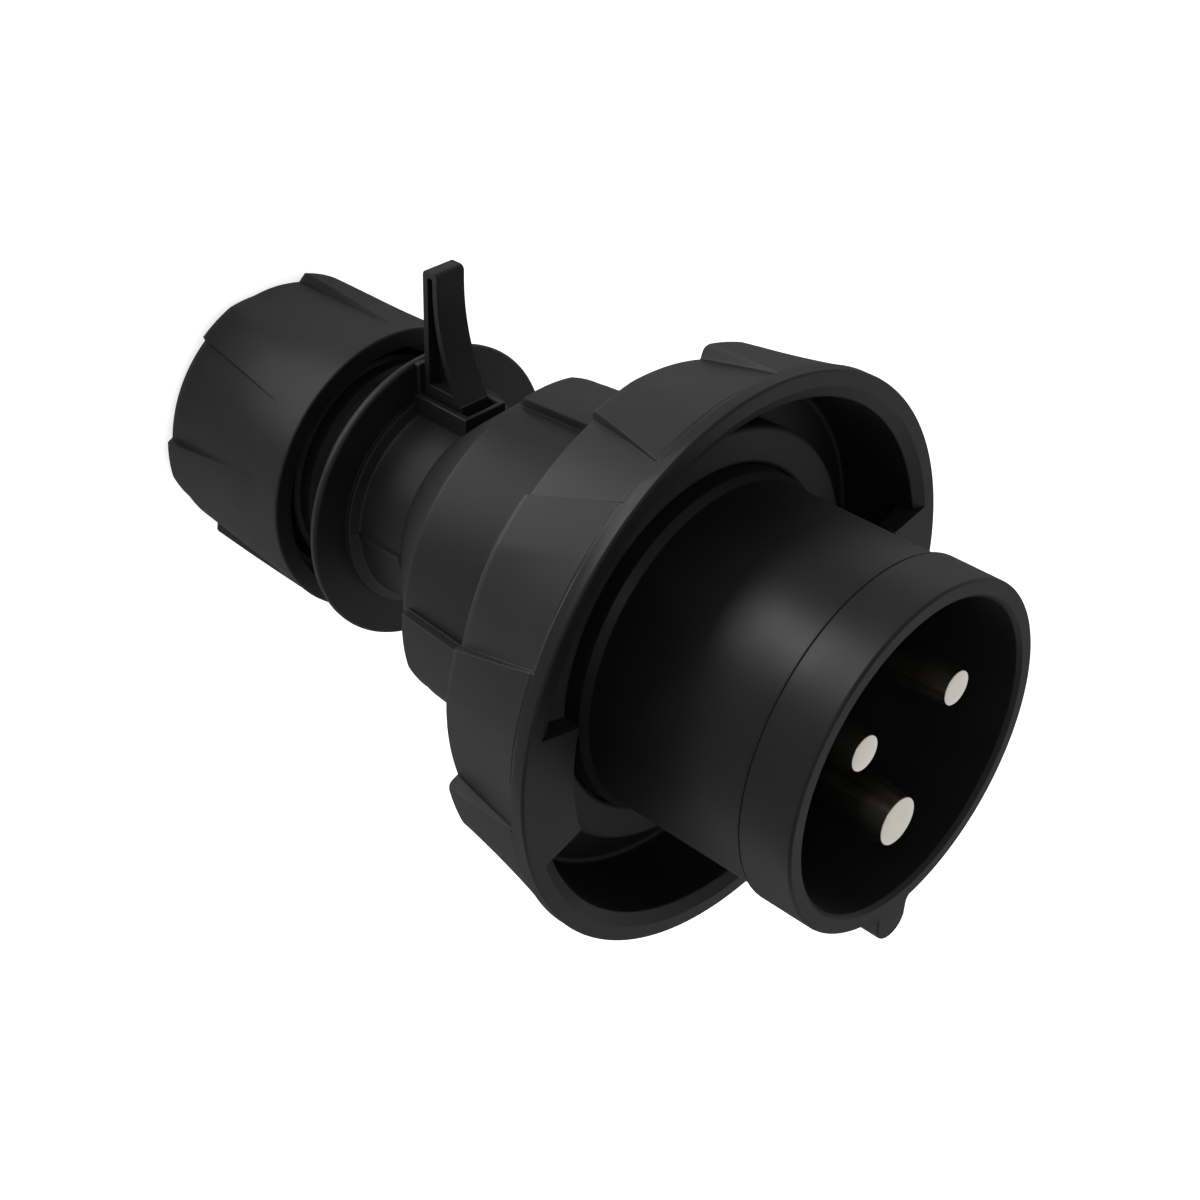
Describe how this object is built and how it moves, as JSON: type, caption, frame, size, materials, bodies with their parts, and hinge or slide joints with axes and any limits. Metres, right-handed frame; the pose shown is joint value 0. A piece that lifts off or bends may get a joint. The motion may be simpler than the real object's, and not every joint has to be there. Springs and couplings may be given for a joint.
{
  "type": "industrial plug",
  "caption": "Straight splash-proof pin-and-sleeve plug: round shroud with key around contact pins, turning bayonet ring, ribbed housing with lock lever, and a screw-on cable gland nut.",
  "frame": {"origin": "centre of the gland nut's rear end face, which the plug stands on", "axes": "+Z along the plug's axis towards the pins' tips, +Y towards the lock lever (12 o'clock), +X towards the line pin's side (3 o'clock seen from the pins)"},
  "size_m": [0.0736, 0.0736, 0.112],
  "materials": {
    "housing": "satin moulded",
    "rubber": "matte",
    "insert": "satin moulded",
    "contact": "nickel plated, turned",
    "steel": "zinc plated"
  },
  "bodies": {
    "housing": {"rear_housing": "housing", "gland_seal": "rubber", "lever_pin": "steel", "shroud": "housing", "face_gasket": "rubber", "housing_seal": "rubber", "terminal_block": "insert", "block_screw": "steel", "earth_pin": "contact", "line_pin": "contact", "neutral_pin": "contact", "earth_screw": "steel", "line_screw": "steel", "neutral_screw": "steel"},
    "ring": {"bayonet_ring": "housing"},
    "lever": {"lock_lever": "housing"},
    "clamp": {"slip_ring": "insert", "clamp_cage": "insert"},
    "nut": {"gland_nut": "housing"}
  },
  "joints": [
    {"name": "ring_turn", "type": "hinge", "parent": "housing", "child": "ring", "pos_m": [0, 0, 0.0736], "axis": [0, 0, 1], "range_deg": [0, 45]},
    {"name": "lever_tilt", "type": "hinge", "parent": "housing", "child": "lever", "pos_m": [0, 0.01275, 0.03795], "axis": [1, 0, 0], "range_deg": [0, 12]},
    {"name": "clamp_slide", "type": "slide", "parent": "housing", "child": "clamp", "axis": [0, 0, -1], "range_m": [0, 0.00901]},
    {"name": "nut_turn", "type": "hinge", "parent": "clamp", "child": "nut", "pos_m": [0, 0, 0.012], "axis": [0, 0, -1], "range_deg": [0, 1080]}
  ],
  "couplings": [
    {"joint": "clamp_slide", "follows": "nut_turn", "m_per_rad": 0.00047746}
  ]
}
